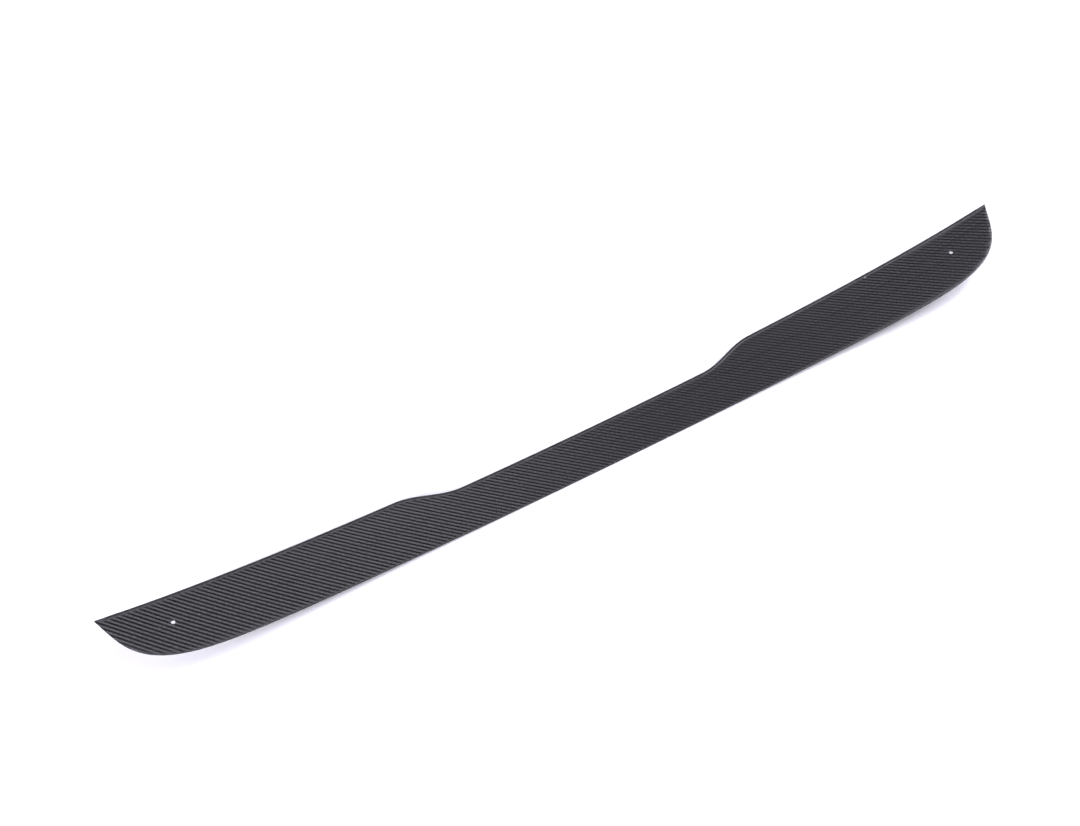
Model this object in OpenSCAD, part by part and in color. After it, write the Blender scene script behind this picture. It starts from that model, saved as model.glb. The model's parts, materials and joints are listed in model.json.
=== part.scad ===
// Lip spoiler for the rear edge of a car's boot lid.
// One moulded blade of woven carbon laminate, drawn as it lies on its back: its bonding side
// faces up, the show side faces the floor, the middle touches the floor and both ends rise.
// X runs along the blade, +Y is the stepped edge, +Z is up.

/* [Outline] */
// Length of the blade from tip to tip
blade_l = 1200; // [1050:5:1400]
// Width across the narrow middle
waist_w = 63; // [50:0.5:80]
// Length of the narrow middle, between the two shoulders
waist_l = 336; // [200:2:460]
// Length of each shoulder, where the edge steps out
shoulder_run = 78; // [50:1:110]
// How far the edge steps out at each shoulder
step_out = 19.5; // [8:0.5:30]
// How far the stepped edge falls back again from a shoulder to its tip
end_drop = 8.5; // [0:0.5:14]
// Distance from the middle at which the smooth edge starts to bow out
belly_start = 166; // [80:2:240]
// How far the smooth edge bows out
belly = 4.5; // [0:0.5:9]

/* [End corners] */
// Distance from a tip back to the start of its round corner
corner_run = 130; // [90:2:170]
// How far the smooth edge carries straight on into the corner
corner_lead = 99; // [60:1:115]
// How far the end edge runs straight back from the tip
tip_lead = 52; // [30:1:65]
// Heading of the end edge at the tip, measured from the length of the blade
tip_heading = 67; // [50:1:85]
// Width of the point of the tip, which is trimmed off square
tip_flat = 2; // [1:0.25:4]

/* [Crown] */
// Lift of the ends that comes from the even bend along the whole blade
even_lift = 24.5; // [10:0.5:45]
// Further lift that comes from the tighter bend towards the tips
tip_lift = 27.5; // [0:0.5:45]
// Lean of the tips across the blade, which raises the stepped edge, in degrees
tip_lean = 5.5; // [0:0.5:9]

/* [Laminate] */
// Thickness of the laminate, measured upright
thick = 1.8; // [1.2:0.1:3]
// Width of the flat top of the rim along the stepped edge
rim_w = 2.8; // [1.5:0.1:5]
// Width of the slope from the rim down to the field
rim_slope = 1.6; // [0.8:0.1:4]
// Height of the rim above the field, which hides the bonding tape
rim_h = 0.9; // [0.3:0.1:2]
// Rounding of the rim's outer edge
rim_round = 1.1; // [0.4:0.1:2]
// Rounding of the stepped edge on the show side
show_round = 0.7; // [0.2:0.1:1.5]

/* [Fixing holes] */
// Diameter of the hole near each tip
hole_d = 5; // [3:0.1:7]
// Distance of each hole in from its tip, along the blade
hole_inset = 75; // [60:0.5:120]
// Distance of each hole in from the outermost line of the stepped edge
hole_depth = 40.5; // [30:0.5:55]

/* [Hidden] */

// Stations along the blade, from the middle to a corner and round the corner
SPAN_STEPS = 58;
CORNER_STEPS = 20;
// Steps round the section's curves, in degrees, and steps of the rim's slope
COARSE_TURN = 45;
FINE_TURN = 30;
SLOPE_STEPS = 4;
// Width of blade under which the rim and the edge roundings shrink with it
SOFT_W = 14;
HOLE_FN = 48;
// How far the drill passes the blade above and below
DRILL_OVER = 10;

half_l = blade_l / 2;
corner_x = half_l - corner_run;
shoulder_in = waist_l / 2;
shoulder_out = shoulder_in + shoulder_run;
// The outline is centred across Y, with the belly and the shoulders as its outermost lines
outer_w = waist_w + step_out + belly;
smooth_y = belly - outer_w / 2;
waist_y = smooth_y + waist_w;
shoulder_y = waist_y + step_out;
hole_x = half_l - hole_inset;
hole_y = shoulder_y - hole_depth;

tip = [half_l, stepped_y(half_l)];
heading = [cos(tip_heading), sin(tip_heading)];
corner_end = tip - tip_flat * heading;
corner_start = [corner_x, smooth_y - belly];

nose = thick / 2;
outer_round = min(rim_round, thick / 2);
under_round = min(show_round, thick / 3);

// Share between 0 and 1 of the way from a to b
function share(x, a, b) = min(max((x - a) / (b - a), 0), 1);

// Rise from 0 to 1 that starts and ends level
function s_curve(q) = q * q * (3 - 2 * q);

// Rise from 0 to 1 that starts slowly and ends level
function late_curve(q) = q * q * q * (4 - 3 * q);

// Stepped edge: straight waist, shoulder, then a long shallow fall to the tip
function stepped_y(x) =
    waist_y + step_out * s_curve(share(x, shoulder_in, shoulder_out))
    - end_drop * pow(share(x, shoulder_out, half_l), 2);

// Smooth edge, as far as the round corner
function belly_y(x) = smooth_y - belly * late_curve(share(x, belly_start, corner_x));

// Round corner, from the smooth edge up to the tip
function corner(q) =
    pow(1 - q, 3) * corner_start
    + 3 * pow(1 - q, 2) * q * (corner_start + [corner_lead, 0])
    + 3 * (1 - q) * q * q * (corner_end - tip_lead * heading)
    + pow(q, 3) * corner_end;

// Height of the show side above the floor
function crown(x, y) =
    let (s = abs(x) / half_l)
    even_lift * pow(s, 2) + tip_lift * pow(s, 4) + y * tan(tip_lean) * pow(s, 2);

// The two ends of one station on the right half: its point on the smooth edge and on the stepped edge
function station(i) =
    i <= SPAN_STEPS
    ? let (x = corner_x * i / SPAN_STEPS) [[x, belly_y(x)], [x, stepped_y(x)]]
    : let (q = (i - SPAN_STEPS) / CORNER_STEPS, x = corner_x + corner_run * q)
      [corner(q), [x, stepped_y(x)]];

// Section of the blade w wide, as distance from the smooth edge and height above the show side:
// the round smooth edge, the rim's slope, the rim's outer edge and the round below it
function section(w) =
    let (k = min(1, w / SOFT_W), top = thick + rim_h * k, rim_in = w - rim_w * k)
    concat(
        [for (a = [-90:COARSE_TURN:90]) [nose * k * (1 - cos(a)), nose * (1 + sin(a))]],
        [for (i = [0:SLOPE_STEPS]) let (q = i / SLOPE_STEPS)
            [rim_in - rim_slope * k * (1 - q), thick + rim_h * k * s_curve(q)]],
        [for (a = [90:-FINE_TURN:0])
            [w - outer_round * k * (1 - cos(a)), top - outer_round * (1 - sin(a))]],
        [for (a = [0:-COARSE_TURN:-90])
            [w - under_round * k * (1 - cos(a)), under_round * (1 + sin(a))]]
    );

// Section of station i laid on the crown, on the right half or, with side -1, on the left one
function ring(i, side) =
    let (rails = station(i), across = rails[1] - rails[0], w = norm(across))
    [for (p = section(w))
        let (xy = rails[0] + across * p[0] / w)
        [side * xy[0], xy[1], crown(xy[0], xy[1]) + p[1]]];

// Loft through the sections from the left tip to the right tip
module blade_body() {
    last = SPAN_STEPS + CORNER_STEPS;
    rings = concat(
        [for (i = [last:-1:1]) ring(i, -1)],
        [for (i = [0:last]) ring(i, 1)]
    );
    n = len(rings[0]);
    skin = [for (i = [0:len(rings) - 2], j = [0:n - 1])
        let (a = i * n + j, b = i * n + (j + 1) % n)
        each [[a, b, b + n], [a, b + n, a + n]]];
    left_cap = [for (j = [n - 1:-1:0]) j];
    right_cap = [for (j = [0:n - 1]) (len(rings) - 1) * n + j];
    polyhedron(points = [for (r = rings) each r], faces = concat(skin, [left_cap, right_cap]));
}

// Upright hole through the laminate near each tip
module fixing_holes() {
    for (side = [-1, 1])
        translate([side * hole_x, hole_y, crown(hole_x, hole_y) - DRILL_OVER])
            cylinder(d = hole_d, h = thick + 2 * DRILL_OVER, $fn = HOLE_FN);
}

module spoiler_blade() {
    color([0.15, 0.15, 0.16])
        difference() {
            blade_body();
            fixing_holes();
        }
}

spoiler_blade();
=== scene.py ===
import json
import math

import bmesh
import bpy
from mathutils import Matrix, Vector
from mathutils.bvhtree import BVHTree


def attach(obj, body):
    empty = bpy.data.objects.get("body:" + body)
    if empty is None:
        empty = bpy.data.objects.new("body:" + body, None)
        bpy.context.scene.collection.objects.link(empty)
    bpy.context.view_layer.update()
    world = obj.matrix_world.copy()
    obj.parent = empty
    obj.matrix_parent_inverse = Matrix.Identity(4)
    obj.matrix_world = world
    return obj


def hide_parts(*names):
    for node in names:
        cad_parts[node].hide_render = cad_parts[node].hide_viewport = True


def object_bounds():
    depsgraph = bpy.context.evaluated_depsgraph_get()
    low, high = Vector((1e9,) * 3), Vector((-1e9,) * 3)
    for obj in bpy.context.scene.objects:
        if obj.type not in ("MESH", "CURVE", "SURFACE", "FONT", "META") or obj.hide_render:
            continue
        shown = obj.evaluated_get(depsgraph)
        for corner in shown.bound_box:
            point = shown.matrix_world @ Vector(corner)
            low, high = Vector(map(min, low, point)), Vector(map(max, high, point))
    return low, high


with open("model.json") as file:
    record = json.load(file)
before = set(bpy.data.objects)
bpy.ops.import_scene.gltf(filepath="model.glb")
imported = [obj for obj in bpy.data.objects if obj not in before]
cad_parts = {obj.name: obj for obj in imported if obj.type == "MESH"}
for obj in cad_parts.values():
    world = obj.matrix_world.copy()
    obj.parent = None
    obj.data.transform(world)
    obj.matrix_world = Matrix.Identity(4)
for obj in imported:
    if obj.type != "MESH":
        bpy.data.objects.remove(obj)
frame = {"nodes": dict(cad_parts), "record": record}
cad_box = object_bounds()
scene = bpy.context.scene


# The blade: one moulding of woven carbon cloth in clear resin, about 2 mm thick. It is laid up in a
# mould, pressed, and trimmed along its outline. The frame's own blade is taken as the moulding: it is
# welded into one skin, and the long strips across it are cut up so that they shade evenly.
WELD = 0.000002
CUT_SPACING = 0.008
# Share of the bore's radius within which the frame's own rough bore is taken off the skin
OLD_BORE = 1.02

moulding = frame["nodes"]["spoiler_blade"]
bpy.ops.object.select_all(action="DESELECT")
blade = bpy.data.objects.new("moulded_blade", moulding.data.copy())
scene.collection.objects.link(blade)
blade.select_set(True)
bpy.context.view_layer.objects.active = blade
bpy.ops.mesh.customdata_custom_splitnormals_clear()
bpy.ops.object.mode_set(mode="EDIT")
bpy.ops.mesh.select_all(action="SELECT")
bpy.ops.mesh.remove_doubles(threshold=WELD)

mounts = {mount["name"]: mount for mount in frame["record"]["mounts"]}
hole_mount = mounts["fixing_holes"]
hole_radius = hole_mount["dims"]["hole_r_mm"] / 1000
hole_reach = hole_mount["dims"]["spacing_x_mm"] / 2000
hole_middles = [Vector((side * hole_reach, hole_mount["pos_m"][1])) for side in (-1, 1)]

bpy.ops.mesh.select_all(action="DESELECT")
skin = bmesh.from_edit_mesh(blade.data)
for vertex in skin.verts:
    if any((vertex.co.xy - middle).length < OLD_BORE * hole_radius for middle in hole_middles):
        for face in vertex.link_faces:
            face.select_set(True)
bmesh.update_edit_mesh(blade.data)
bpy.ops.mesh.delete(type="FACE")
bpy.ops.mesh.select_all(action="SELECT")
bpy.ops.mesh.fill_holes(sides=0)
bpy.ops.mesh.select_all(action="SELECT")
bpy.ops.mesh.quads_convert_to_tris(quad_method="BEAUTY", ngon_method="BEAUTY")

front_edge, back_edge = cad_box[0].y, cad_box[1].y
cuts = round((back_edge - front_edge) / CUT_SPACING)
for cut in range(1, cuts):
    bpy.ops.mesh.select_all(action="SELECT")
    cut_y = front_edge + (back_edge - front_edge) * cut / cuts
    bpy.ops.mesh.bisect(plane_co=(0, cut_y, 0), plane_no=(0, 1, 0))
bpy.ops.object.mode_set(mode="OBJECT")


# The two fixing holes: drilled upright through the laminate near the tips after trimming. Their
# rims are broken with a countersink so that no fibres stand up.
DRILL_SIDES = 64
DRILL_LENGTH = 0.05
RIM_BREAK = 0.00025
BREAK_STEPS = 2
ROUND_BREAK = 0.5
SHARP_RIM = math.radians(50)

for middle in hole_middles:
    bpy.ops.mesh.primitive_cylinder_add(
        vertices=DRILL_SIDES,
        radius=hole_radius,
        depth=DRILL_LENGTH,
        location=(middle.x, middle.y, hole_mount["pos_m"][2]),
    )
    drill = bpy.context.active_object
    bpy.context.view_layer.objects.active = blade
    bpy.ops.object.modifier_add(type="BOOLEAN")
    bore = blade.modifiers[-1]
    bore.object = drill
    bpy.ops.object.modifier_apply(modifier=bore.name)
    bpy.data.objects.remove(drill)

bpy.ops.object.select_all(action="DESELECT")
blade.select_set(True)
bpy.context.view_layer.objects.active = blade
bpy.ops.object.mode_set(mode="EDIT")
bpy.ops.mesh.select_mode(type="EDGE")
bpy.ops.mesh.select_all(action="DESELECT")
skin = bmesh.from_edit_mesh(blade.data)
for edge in skin.edges:
    on_bore = any(
        all(abs((end.co.xy - middle).length - hole_radius) < WELD for end in edge.verts)
        for middle in hole_middles
    )
    edge.select_set(on_bore and edge.calc_face_angle() > SHARP_RIM)
bmesh.update_edit_mesh(blade.data)
bpy.ops.mesh.bevel(offset=RIM_BREAK, segments=BREAK_STEPS, profile=ROUND_BREAK)
bpy.ops.object.mode_set(mode="OBJECT")
bpy.ops.object.shade_smooth_by_angle(angle=SHARP_RIM)


# The cloth: a balanced 2x2 twill of carbon tows. Tows that run along the blade and tows that run
# across it each pass over two and under two, and each row starts one tow further on, which draws
# the slanting lines. Fibres shine across their own length, so the two sets catch light differently.
TOW = 0.00159
CLOTH_TURN = math.radians(0.97)
# How flat a tow is pressed: 1 is a round arch, and lower is flatter on top
PRESSED = 0.8
# The tows wander a little from straight: how far, and the waves for each metre
WANDER = 0.9 * TOW
WANDER_WAVES = 9.0
# Streaks of fibre for each tow's width, along the fibre and across it
STREAKS_ALONG = 0.25
STREAKS_ACROSS = 9.0
# Shares of a tow's width over which its end dips under the next tow, and over which its side does
SOFT_END, SOFT_SIDE = 0.3, 0.5
# Sets the numbers of the lengthwise tows apart from those of the cross tows
TOW_NUMBERS_APART = 500.5
# A 2x2 twill: each tow passes over this many and under as many, and then repeats
FLOAT_TOWS = 2.0
REPEAT_TOWS = 2 * FLOAT_TOWS
# Sets the streaks of the cross tows apart from those of the lengthwise tows
CROSS_STREAK_LAYER = 7.0
STREAK_ROUGHNESS = 0.65
# The middle span of a noise, outside which it seldom goes, and how many layers of detail it has
NOISE_LOW, NOISE_HIGH = 0.25, 0.75
PLAIN_DETAIL, FINE_DETAIL = 2.0, 3.0


def node(tree, kind, inputs=(), **settings):
    """Adds one node, with its options, and feeds its first inputs from sockets or plain values."""
    made = tree.nodes.new(kind)
    for name, value in settings.items():
        setattr(made, name, value)
    for socket, value in zip(made.inputs, inputs):
        if isinstance(value, bpy.types.NodeSocket):
            tree.links.new(value, socket)
        elif value is not None:
            socket.default_value = value
    return made


def calc(tree, operation, *values):
    """The result of one Math node."""
    return node(tree, "ShaderNodeMath", values, operation=operation).outputs[0]


def mixed(tree, kind, share, low, high):
    """A mix of two values, vectors or colours, from low at share 0 to high at share 1."""
    place = ("FLOAT", "VECTOR", "RGBA").index(kind)
    unused = (None,) * (1 + 2 * place)
    made = node(tree, "ShaderNodeMix", (share, *unused, low, high), data_type=kind)
    return made.outputs[place]


def ranged(tree, value, low, high, to_low, to_high):
    """A value's range stretched to another range, and held within it."""
    return node(tree, "ShaderNodeMapRange", (value, low, high, to_low, to_high)).outputs[0]


def arch(tree, place):
    """Height of a round arch over 0 to 1, flattened on top as a pressed tow is."""
    rest = calc(tree, "SUBTRACT", 1.0, place)
    hump = calc(tree, "MULTIPLY", calc(tree, "MULTIPLY", place, rest), 4.0)
    return calc(tree, "POWER", hump, PRESSED)


def streaks(tree, u, v, u_density, v_density, layer):
    """Place in the pattern of fibre streaks, drawn out along the fibre."""
    u_part = calc(tree, "MULTIPLY", u, u_density)
    v_part = calc(tree, "MULTIPLY", v, v_density)
    return node(tree, "ShaderNodeCombineXYZ", (u_part, v_part, layer)).outputs[0]


def twill_cloth():
    """Node group that says for each point of the cloth which tow is on top, and how high it stands."""
    tree = bpy.data.node_groups.new("twill_cloth", "ShaderNodeTree")
    for name in ("Lengthwise", "Height", "Fibre", "Tow"):
        tree.interface.new_socket(name, in_out="OUTPUT", socket_type="NodeSocketFloat")
    tree.interface.new_socket("Shine direction", in_out="OUTPUT", socket_type="NodeSocketVector")

    place = node(tree, "ShaderNodeTexCoord").outputs["Object"]
    wave = node(tree, "ShaderNodeTexNoise", (place, None, WANDER_WAVES, PLAIN_DETAIL)).outputs["Color"]
    middle = (0.5, 0.5, 0.5)
    swing = node(tree, "ShaderNodeVectorMath", (wave, middle), operation="SUBTRACT").outputs[0]
    push = node(tree, "ShaderNodeVectorMath", (swing, None, None, WANDER), operation="SCALE").outputs[0]
    laid = node(tree, "ShaderNodeVectorMath", (place, push), operation="ADD").outputs[0]
    turn_back = (0, 0, -CLOTH_TURN)
    to_tows = (1 / TOW, 1 / TOW, 1 / TOW)
    counted = node(tree, "ShaderNodeMapping", (laid, None, turn_back, to_tows)).outputs[0]
    split = node(tree, "ShaderNodeSeparateXYZ", (counted,))
    u, v = split.outputs["X"], split.outputs["Y"]

    row = calc(tree, "FLOOR", v)
    column = calc(tree, "FLOOR", u)
    along = calc(tree, "FLOORED_MODULO", calc(tree, "ADD", u, row), REPEAT_TOWS)
    across = calc(tree, "FLOORED_MODULO", calc(tree, "ADD", v, column), REPEAT_TOWS)
    next_row = ranged(tree, calc(tree, "FRACT", v), 1 - SOFT_SIDE, 1.0, 0.0, 1.0)
    soft_along = calc(tree, "ADD", u, calc(tree, "ADD", row, next_row))
    half_float = FLOAT_TOWS / 2
    off_middle = calc(tree, "PINGPONG", calc(tree, "SUBTRACT", soft_along, half_float), FLOAT_TOWS)
    lengthwise = ranged(tree, off_middle, half_float - SOFT_END, half_float + SOFT_END, 1.0, 0.0)

    run_place = calc(tree, "MULTIPLY", along, 1 / FLOAT_TOWS)
    cross_place = calc(tree, "MULTIPLY", calc(tree, "SUBTRACT", across, FLOAT_TOWS), 1 / FLOAT_TOWS)
    run_height = calc(tree, "MULTIPLY", arch(tree, run_place), arch(tree, calc(tree, "FRACT", v)))
    cross_height = calc(tree, "MULTIPLY", arch(tree, cross_place), arch(tree, calc(tree, "FRACT", u)))
    height = mixed(tree, "FLOAT", lengthwise, cross_height, run_height)

    run_streaks = streaks(tree, u, v, STREAKS_ALONG, STREAKS_ACROSS, 0.0)
    cross_streaks = streaks(tree, u, v, STREAKS_ACROSS, STREAKS_ALONG, CROSS_STREAK_LAYER)
    streak_place = mixed(tree, "VECTOR", lengthwise, cross_streaks, run_streaks)
    streak_noise = (streak_place, None, 1.0, FINE_DETAIL, STREAK_ROUGHNESS)
    fibre = node(tree, "ShaderNodeTexNoise", streak_noise).outputs[0]

    row_number = calc(tree, "ADD", row, TOW_NUMBERS_APART)
    tow_number = mixed(tree, "FLOAT", lengthwise, column, row_number)
    tow = node(tree, "ShaderNodeTexWhiteNoise", noise_dimensions="1D")
    tree.links.new(tow_number, tow.inputs["W"])

    out = node(tree, "NodeGroupOutput")
    for name, socket in (
        ("Lengthwise", lengthwise),
        ("Height", height),
        ("Fibre", fibre),
        ("Tow", tow.outputs["Value"]),
        ("Shine direction", mixed(tree, "VECTOR", lengthwise, (1, 0, 0), (0, 1, 0))),
    ):
        tree.links.new(socket, out.inputs[name])
    return tree


def woven_finish(name, cross_colour, lengthwise_colour_and_sheen, roughness, rise):
    """A material of the cloth with tow by tow colour and gloss, and with the weave's relief; the
    lengthwise tows' paler colour is their sheen, painted in.
    """
    made = bpy.data.materials.new(name)
    made.use_nodes = True
    tree = made.node_tree
    surface = tree.nodes["Principled BSDF"]
    surface.inputs["IOR"].default_value = FIBRE_IOR
    surface.inputs["Anisotropic"].default_value = FIBRE_SHINE
    weave = node(tree, "ShaderNodeGroup", node_tree=cloth)
    fibre, tow = weave.outputs["Fibre"], weave.outputs["Tow"]
    fibre_tone = ranged(tree, fibre, NOISE_LOW, NOISE_HIGH, 1 - FIBRE_TONES, 1 + FIBRE_TONES)
    tow_tone = ranged(tree, tow, 0.0, 1.0, 1 - TOW_TONES, 1 + TOW_TONES)
    tone = calc(tree, "MULTIPLY", fibre_tone, tow_tone)
    lengthwise = weave.outputs["Lengthwise"]
    colour = mixed(tree, "RGBA", lengthwise, (*cross_colour, 1), (*lengthwise_colour_and_sheen, 1))
    toned = node(tree, "ShaderNodeVectorMath", (colour, None, None, tone), operation="SCALE").outputs[0]
    tree.links.new(toned, surface.inputs["Base Color"])
    smooth, matt = roughness - TOW_MATT, roughness + TOW_MATT
    gloss = ranged(tree, tone, 1 - FIBRE_TONES, 1 + FIBRE_TONES, smooth, matt)
    tree.links.new(gloss, surface.inputs["Roughness"])
    tree.links.new(weave.outputs["Shine direction"], surface.inputs["Tangent"])
    relief = node(tree, "ShaderNodeBump", (1.0, rise))
    tree.links.new(weave.outputs["Height"], relief.inputs["Height"])
    tree.links.new(relief.outputs[0], surface.inputs["Normal"])
    return made, surface, toned


cloth = twill_cloth()


# The bonding side is the bag side of the laminate: the resin is drawn thin over the black cloth, so
# the twill can be felt and has a satin look. A few flecks of resin dust sit on it where it was
# trimmed and drilled, and there is one small dark spot.
# Painted sheen: both sets of tows are the same black fibre, but the lengthwise tows are given a far
# paler colour, which stands for the shine they catch in this light.
BONDING_CROSS_TOWS = (0.003, 0.003, 0.0032)
BONDING_LENGTHWISE_TOWS_PAINTED_SHEEN = (0.044, 0.0432, 0.0467)
BONDING_ROUGHNESS = 0.42
FIBRE_IOR = 1.8
FIBRE_SHINE = 0.9
# Shares by which fibres and tows are paler or darker than their colour, and rougher or smoother
FIBRE_TONES = 0.4
TOW_TONES = 0.35
TOW_MATT = 0.05
# How high a tow's middle stands over its ends
FLOAT_RISE = 0.00004
RESIN_DUST = (0.30, 0.29, 0.31)
DARK_SPOT = (0.003, 0.003, 0.0032)
# The ragged outline of the flecks: waves for each metre, and shares of the reach over which they fade
RAGGED_WAVES = 1500.0
FULL_WITHIN, GONE_BEYOND = 0.6, 1.1
# Each fleck: its colour, where its middle lies, how far it reaches each way, and how strongly it shows
FLECKS = (
    (RESIN_DUST, (0.0797, -0.0393), (0.0012, 0.0012), 0.8),
    (RESIN_DUST, (0.4189, 0.0369), (0.0016, 0.0009), 0.8),
    (RESIN_DUST, (-0.5374, 0.0012), (0.0036, 0.0024), 0.10),
    (DARK_SPOT, (-0.5374, 0.0012), (0.0017, 0.0014), 1.0),
)


def dusted(tree, colour):
    """A colour with the flecks and the dark spot laid over it."""
    place = node(tree, "ShaderNodeTexCoord").outputs["Object"]
    ragged = node(tree, "ShaderNodeTexNoise", (place, None, RAGGED_WAVES, PLAIN_DETAIL)).outputs[0]
    for fleck_colour, middle, reach, strength in FLECKS:
        scale = (reach[0], reach[1], 1)
        centred = node(
            tree, "ShaderNodeMapping", (place, (*middle, 0), None, scale), vector_type="TEXTURE"
        ).outputs[0]
        flat = node(tree, "ShaderNodeVectorMath", (centred, (1, 1, 0)), operation="MULTIPLY").outputs[0]
        distance = node(tree, "ShaderNodeVectorMath", (flat,), operation="LENGTH").outputs["Value"]
        edge = calc(tree, "ADD", distance, calc(tree, "SUBTRACT", ragged, 0.5))
        share = ranged(tree, edge, FULL_WITHIN, GONE_BEYOND, strength, 0.0)
        colour = mixed(tree, "RGBA", share, colour, (*fleck_colour, 1))
    return colour


bonding, surface, toned = woven_finish(
    "bonding_side_twill", BONDING_CROSS_TOWS, BONDING_LENGTHWISE_TOWS_PAINTED_SHEEN, BONDING_ROUGHNESS, FLOAT_RISE
)
tree = bonding.node_tree
tree.links.new(dusted(tree, toned), surface.inputs["Base Color"])


# The show side lay against the polished mould: the same twill, deep under a flat layer of clear
# gloss resin. It faces the floor here.
# Painted sheen here too: the lengthwise tows are given a paler colour than the cross tows of the same
# black fibre.
SHOW_CROSS_TOWS = (0.008, 0.008, 0.0085)
SHOW_LENGTHWISE_TOWS_PAINTED_SHEEN = (0.020, 0.020, 0.021)
SHOW_ROUGHNESS = 0.36
SHOW_RISE = FLOAT_RISE / 4
SHOW_COAT_ROUGHNESS = 0.04

show, surface, _ = woven_finish(
    "show_side_gloss_twill", SHOW_CROSS_TOWS, SHOW_LENGTHWISE_TOWS_PAINTED_SHEEN, SHOW_ROUGHNESS, SHOW_RISE
)
surface.inputs["Coat Weight"].default_value = 1.0
surface.inputs["Coat Roughness"].default_value = SHOW_COAT_ROUGHNESS


# The rim along the stepped edge, its crest and its inner slope: the cloth ends under it, and resin
# fills the corner of the mould. So it is plainer and smoother than the field, with a faint print of
# the tows. Low on the inner slope, where the rim falls to the field, the colour is paler: a painted
# highlight, for the light that this slope catches.
CREST_COLOUR = (0.018, 0.018, 0.019)
# Painted highlight: the corner's colour is paler than the crest's and the field's, for the light that
# the inner slope catches.
CORNER_PAINTED_HIGHLIGHT = (0.05, 0.05, 0.053)
# Heights over the show side up to which the slope has the corner's painted highlight, and above which
# the crest's colour
CORNER_RISE, CREST_RISE = 0.0022, 0.0026
CREST_PRINT = FLOAT_RISE / 2
CREST_SPECULAR = 0.4
CREST_SMOOTH, CREST_MATT = 0.4, 0.6
# Blotches in the resin: waves for each metre, their middle span, and how dark and pale they make it
BLOTCH_WAVES = 160.0
BLOTCH_LOW, BLOTCH_HIGH = 0.3, 0.7
BLOTCH_DARK, BLOTCH_PALE = 0.6, 1.5

crest = bpy.data.materials.new("resin_rich_crest")
crest.use_nodes = True
tree = crest.node_tree
surface = tree.nodes["Principled BSDF"]
surface.inputs["Specular IOR Level"].default_value = CREST_SPECULAR
weave = node(tree, "ShaderNodeGroup", node_tree=cloth)
place = node(tree, "ShaderNodeTexCoord").outputs["Object"]
blotch = node(tree, "ShaderNodeTexNoise", (place, None, BLOTCH_WAVES, FINE_DETAIL)).outputs[0]
tone = ranged(tree, blotch, BLOTCH_LOW, BLOTCH_HIGH, BLOTCH_DARK, BLOTCH_PALE)
height = node(tree, "ShaderNodeAttribute", attribute_name="rise").outputs["Fac"]
corner_highlight_share = ranged(tree, height, CORNER_RISE, CREST_RISE, 1.0, 0.0)
# The paler colour low on the inner slope is the painted highlight; the crest keeps the resin's own dark
# colour.
depth = mixed(tree, "RGBA", corner_highlight_share, (*CREST_COLOUR, 1), (*CORNER_PAINTED_HIGHLIGHT, 1))
resin = node(tree, "ShaderNodeVectorMath", (depth, None, None, tone), operation="SCALE").outputs[0]
tree.links.new(dusted(tree, resin), surface.inputs["Base Color"])
gloss = ranged(tree, blotch, BLOTCH_LOW, BLOTCH_HIGH, CREST_SMOOTH, CREST_MATT)
tree.links.new(gloss, surface.inputs["Roughness"])
relief = node(tree, "ShaderNodeBump", (1.0, CREST_PRINT))
tree.links.new(weave.outputs["Height"], relief.inputs["Height"])
tree.links.new(relief.outputs[0], surface.inputs["Normal"])


# The trimmed edges, all round the blade and in the two bores: sawn, sanded and wiped with resin.
# The stacked layers of cloth show there as fine lines along the edge.
PLY = 0.0003
EDGE_DARK = (0.006, 0.006, 0.0063)
EDGE_PALE = (0.009, 0.009, 0.0094)
EDGE_SPECULAR = 0.08
# The ply lines waver with this many waves for each metre, and fade from dark to pale over this span
WAVER_WAVES = 220.0
LINE_DARK, LINE_PALE = 0.15, 0.4
# The sanding: scratches for each metre, their middle span, and how smooth, matt and deep they are
SAND_SCRATCHES = 2600.0
SAND_LOW, SAND_HIGH = 0.3, 0.7
SAND_SMOOTH, SAND_MATT = 0.4, 0.6
SAND_RELIEF = 0.6
SAND_DEPTH = 0.00002

trimmed = bpy.data.materials.new("trimmed_edge")
trimmed.use_nodes = True
tree = trimmed.node_tree
surface = tree.nodes["Principled BSDF"]
surface.inputs["Specular IOR Level"].default_value = EDGE_SPECULAR
rise = node(tree, "ShaderNodeAttribute", attribute_name="rise").outputs["Fac"]
place = node(tree, "ShaderNodeTexCoord").outputs["Object"]
waver = node(tree, "ShaderNodeTexNoise", (place, None, WAVER_WAVES, PLAIN_DETAIL)).outputs[0]
ply_count = calc(tree, "ADD", calc(tree, "DIVIDE", rise, PLY), waver)
ply_line = calc(tree, "PINGPONG", ply_count, 0.5)
ply_share = ranged(tree, ply_line, LINE_DARK, LINE_PALE, 0.0, 1.0)
edge_colour = mixed(tree, "RGBA", ply_share, (*EDGE_DARK, 1), (*EDGE_PALE, 1))
tree.links.new(dusted(tree, edge_colour), surface.inputs["Base Color"])
sanded = node(tree, "ShaderNodeTexNoise", (place, None, SAND_SCRATCHES, PLAIN_DETAIL)).outputs[0]
gloss = ranged(tree, sanded, SAND_LOW, SAND_HIGH, SAND_SMOOTH, SAND_MATT)
tree.links.new(gloss, surface.inputs["Roughness"])
relief = node(tree, "ShaderNodeBump", (SAND_RELIEF, SAND_DEPTH))
tree.links.new(sanded, relief.inputs["Height"])
tree.links.new(relief.outputs[0], surface.inputs["Normal"])


# Where each finish lies on the one moulding: the side that faces up is cloth, the rim's crest and
# its inner slope are resin, the side that faces the floor is gloss, and what stands upright is
# trimmed edge. The blade then takes the place of the frame's own.
# How far a face's normal points up on the side that faces up, on the side that faces the floor, and
# at least on the rim's inner slope
UPWARD = 0.72
DOWNWARD = -0.72
SLOPE_UPWARD = 0.4
# The inner slope leans to the front by more than this, and the field by less, even at the tips
SLOPE_LEAN = 0.2
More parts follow.
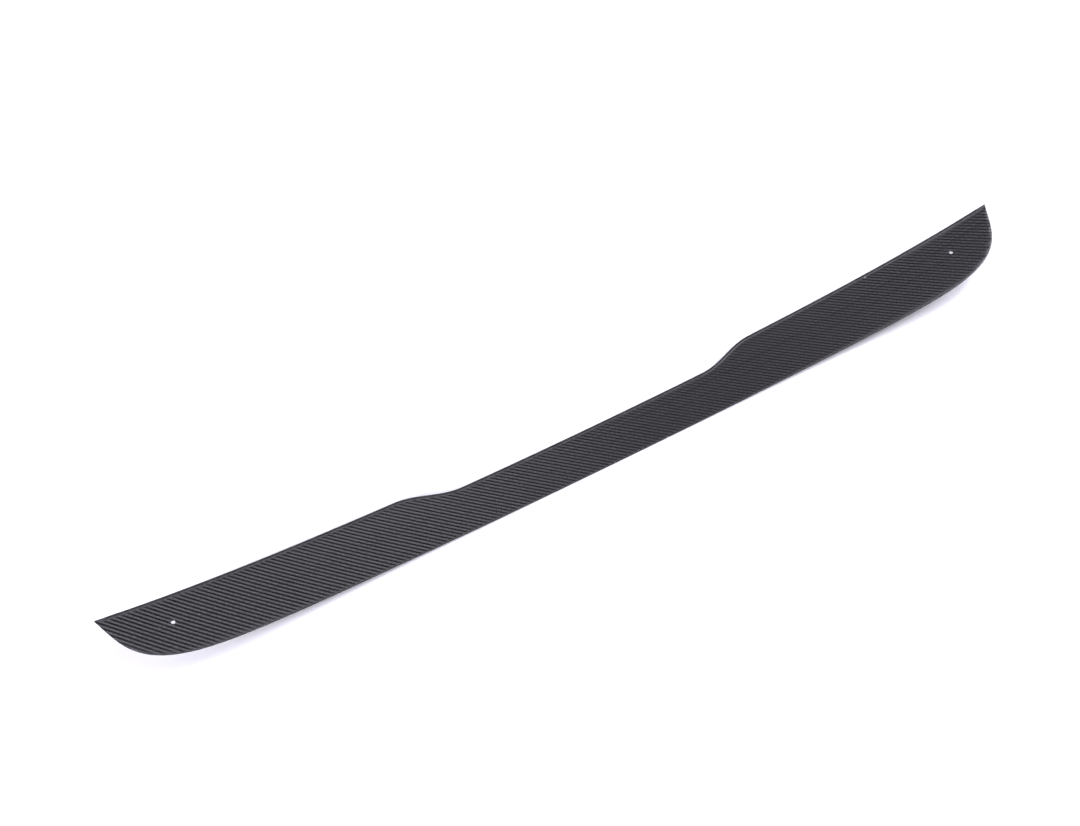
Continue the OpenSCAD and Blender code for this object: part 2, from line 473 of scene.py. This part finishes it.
# Heights are felt for this far inside the outline, from well under the blade
NUDGE = 0.0004
FAR_BELOW = -1.0
# What stands over this many times the field's thickness belongs to the rim
CLEARLY_OVER = 1.01
# The crest begins at this share of the rim's height over the field
CREST_SHARE = 0.9

field_thickness = mounts["bonding_side"]["pos_m"][2]
finishes = (bonding, crest, show, trimmed)
blade.data.materials.clear()
for finish in finishes:
    blade.data.materials.append(finish)
bpy.ops.object.mode_set(mode="EDIT")
skin = bmesh.from_edit_mesh(blade.data)
walls = BVHTree.FromBMesh(skin)


def rise_over_show_side(point, normal):
    """Height of a point of the blade over the show side under it, felt for just inside the edge."""
    start = Vector((point.x - normal.x * NUDGE, point.y - normal.y * NUDGE, FAR_BELOW))
    under = walls.ray_cast(start, Vector((0, 0, 1)))[0]
    return point.z - under.z if under else 0.0


rises = [rise_over_show_side(face.calc_center_median(), face.normal) for face in skin.faces]
rim_height = max(rises) - field_thickness
for face, rise in zip(skin.faces, rises):
    faces_front = face.normal.y < -SLOPE_LEAN and face.normal.z > SLOPE_UPWARD
    on_slope = faces_front and rise > CLEARLY_OVER * field_thickness
    if face.normal.z < DOWNWARD:
        finish = show
    elif face.normal.z < UPWARD and not on_slope:
        finish = trimmed
    elif on_slope or rise > field_thickness + CREST_SHARE * rim_height:
        finish = crest
    else:
        finish = bonding
    face.material_index = finishes.index(finish)
height_layer = skin.verts.layers.float.new("rise")
for vertex in skin.verts:
    vertex[height_layer] = rise_over_show_side(vertex.co, vertex.normal)
bmesh.update_edit_mesh(blade.data)
bpy.ops.object.mode_set(mode="OBJECT")

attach(blade, "root")
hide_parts("spoiler_blade")


# The floor that the blade lies on: a plain sheet of white, matt studio paper, far wider than the
# blade. It is staging, and not a piece of the object.
FLOOR_SIZE = 12.0
PAPER_WHITE = (0.86, 0.86, 0.88)
PAPER_ROUGHNESS = 0.9

bpy.ops.mesh.primitive_plane_add(size=FLOOR_SIZE, location=(0, 0, 0))
floor = bpy.context.active_object
floor.name = "studio_floor"
paper = bpy.data.materials.new("white_paper")
paper.use_nodes = True
paper_surface = paper.node_tree.nodes["Principled BSDF"]
paper_surface.inputs["Base Color"].default_value = (*PAPER_WHITE, 1)
paper_surface.inputs["Roughness"].default_value = PAPER_ROUGHNESS
floor.data.materials.append(paper)


# The camera stands in front of the blade and a little to its left, 50 degrees over the floor, and
# is rolled so that the blade climbs across the picture.
CAMERA_TURN = math.radians(-19.504)
CAMERA_LIFT = math.radians(50)
CAMERA_ROLL = math.radians(-9.916)
CAMERA_DISTANCE = 1.542
PICTURE_WIDTH = 1080
PICTURE_MIDDLE = Vector((540, 413))
FOCAL_PIXELS = 1279.2
SENSOR_WIDTH = 36
BLADE_MIDDLE_PIXEL = Vector((597.47, 448.2))
AIM = Vector((0, -0.0075, 0))

level = Vector((math.cos(CAMERA_TURN), math.sin(CAMERA_TURN), 0))
back = Vector((
    math.sin(CAMERA_TURN) * math.cos(CAMERA_LIFT),
    -math.cos(CAMERA_TURN) * math.cos(CAMERA_LIFT),
    math.sin(CAMERA_LIFT),
))
upright = back.cross(level)
right = level * math.cos(CAMERA_ROLL) + upright * math.sin(CAMERA_ROLL)
up = upright * math.cos(CAMERA_ROLL) - level * math.sin(CAMERA_ROLL)
off_middle = (BLADE_MIDDLE_PIXEL - PICTURE_MIDDLE) * CAMERA_DISTANCE / FOCAL_PIXELS
station = AIM + back * CAMERA_DISTANCE - right * off_middle.x + up * off_middle.y
turned = Matrix((right, up, back)).transposed().to_4x4()

bpy.ops.object.camera_add()
camera = bpy.context.active_object
camera.name = "photo_camera"
camera.matrix_world = Matrix.Translation(station) @ turned
camera.data.sensor_fit = "HORIZONTAL"
camera.data.sensor_width = SENSOR_WIDTH
camera.data.lens = FOCAL_PIXELS / PICTURE_WIDTH * SENSOR_WIDTH
scene.camera = camera


# The light: soft boxes hung round the table, most of it from a low one at the left end and two at the
# right end, so that the tows along the blade shine and the tows across it stay dark. Weak ones over
# the blade and behind it keep the paper white and the shadows soft.
LIGHT_COLOUR = (0.93, 0.91, 1.0)
# The room: its wall is pale at the foot, and its ceiling is dim. These heights are sines of the angle
# over the floor
WALL_FOOT, WALL_TOP = 0.05, 0.3
WALL_BRIGHTNESS, CEILING_BRIGHTNESS = 0.35, 0.032
BOX_WIDTH, BOX_DEPTH = 0.7, 0.6
BLADE_MIDDLE = Vector((0, 0, 0))


def soft_box(name, place, watts):
    """A rectangular lamp at a place, turned towards the middle of the blade."""
    bpy.ops.object.light_add(type="AREA", location=place)
    box = bpy.context.active_object
    box.name = name
    box.data.shape = "RECTANGLE"
    box.data.size = BOX_WIDTH
    box.data.size_y = BOX_DEPTH
    box.data.energy = watts
    box.data.color = LIGHT_COLOUR
    box.visible_camera = False
    box.rotation_euler = (BLADE_MIDDLE - Vector(place)).to_track_quat("-Z", "Y").to_euler()


soft_box("front_left_box", (-1.8, -0.5, 0.6), 49.7)
soft_box("front_right_box", (1.9, -0.5, 1.0), 27.2)
soft_box("high_right_box", (1.9, 0.0, 2.1), 37.8)
soft_box("near_right_box", (1.3, -0.5, 1.0), 4.6)
soft_box("overhead_box", (0.1, -0.5, 1.5), 3.8)
soft_box("low_overhead_box", (-0.3, 0.0, 1.0), 1.3)
soft_box("back_left_box", (-0.7, 1.6, 1.0), 13.0)
soft_box("back_box", (0.1, 1.6, 0.6), 5.7)

room = bpy.data.worlds.new("studio_room")
room.use_nodes = True
tree = room.node_tree
sky = node(tree, "ShaderNodeTexCoord").outputs["Generated"]
height = node(tree, "ShaderNodeSeparateXYZ", (sky,)).outputs["Z"]
wall = node(
    tree, "ShaderNodeMapRange", (height, WALL_FOOT, WALL_TOP, WALL_BRIGHTNESS, CEILING_BRIGHTNESS),
    interpolation_type="SMOOTHSTEP",
).outputs[0]
background = tree.nodes["Background"]
background.inputs["Color"].default_value = (*LIGHT_COLOUR, 1)
tree.links.new(wall, background.inputs["Strength"])
scene.world = room
scene.view_settings.view_transform = "Standard"
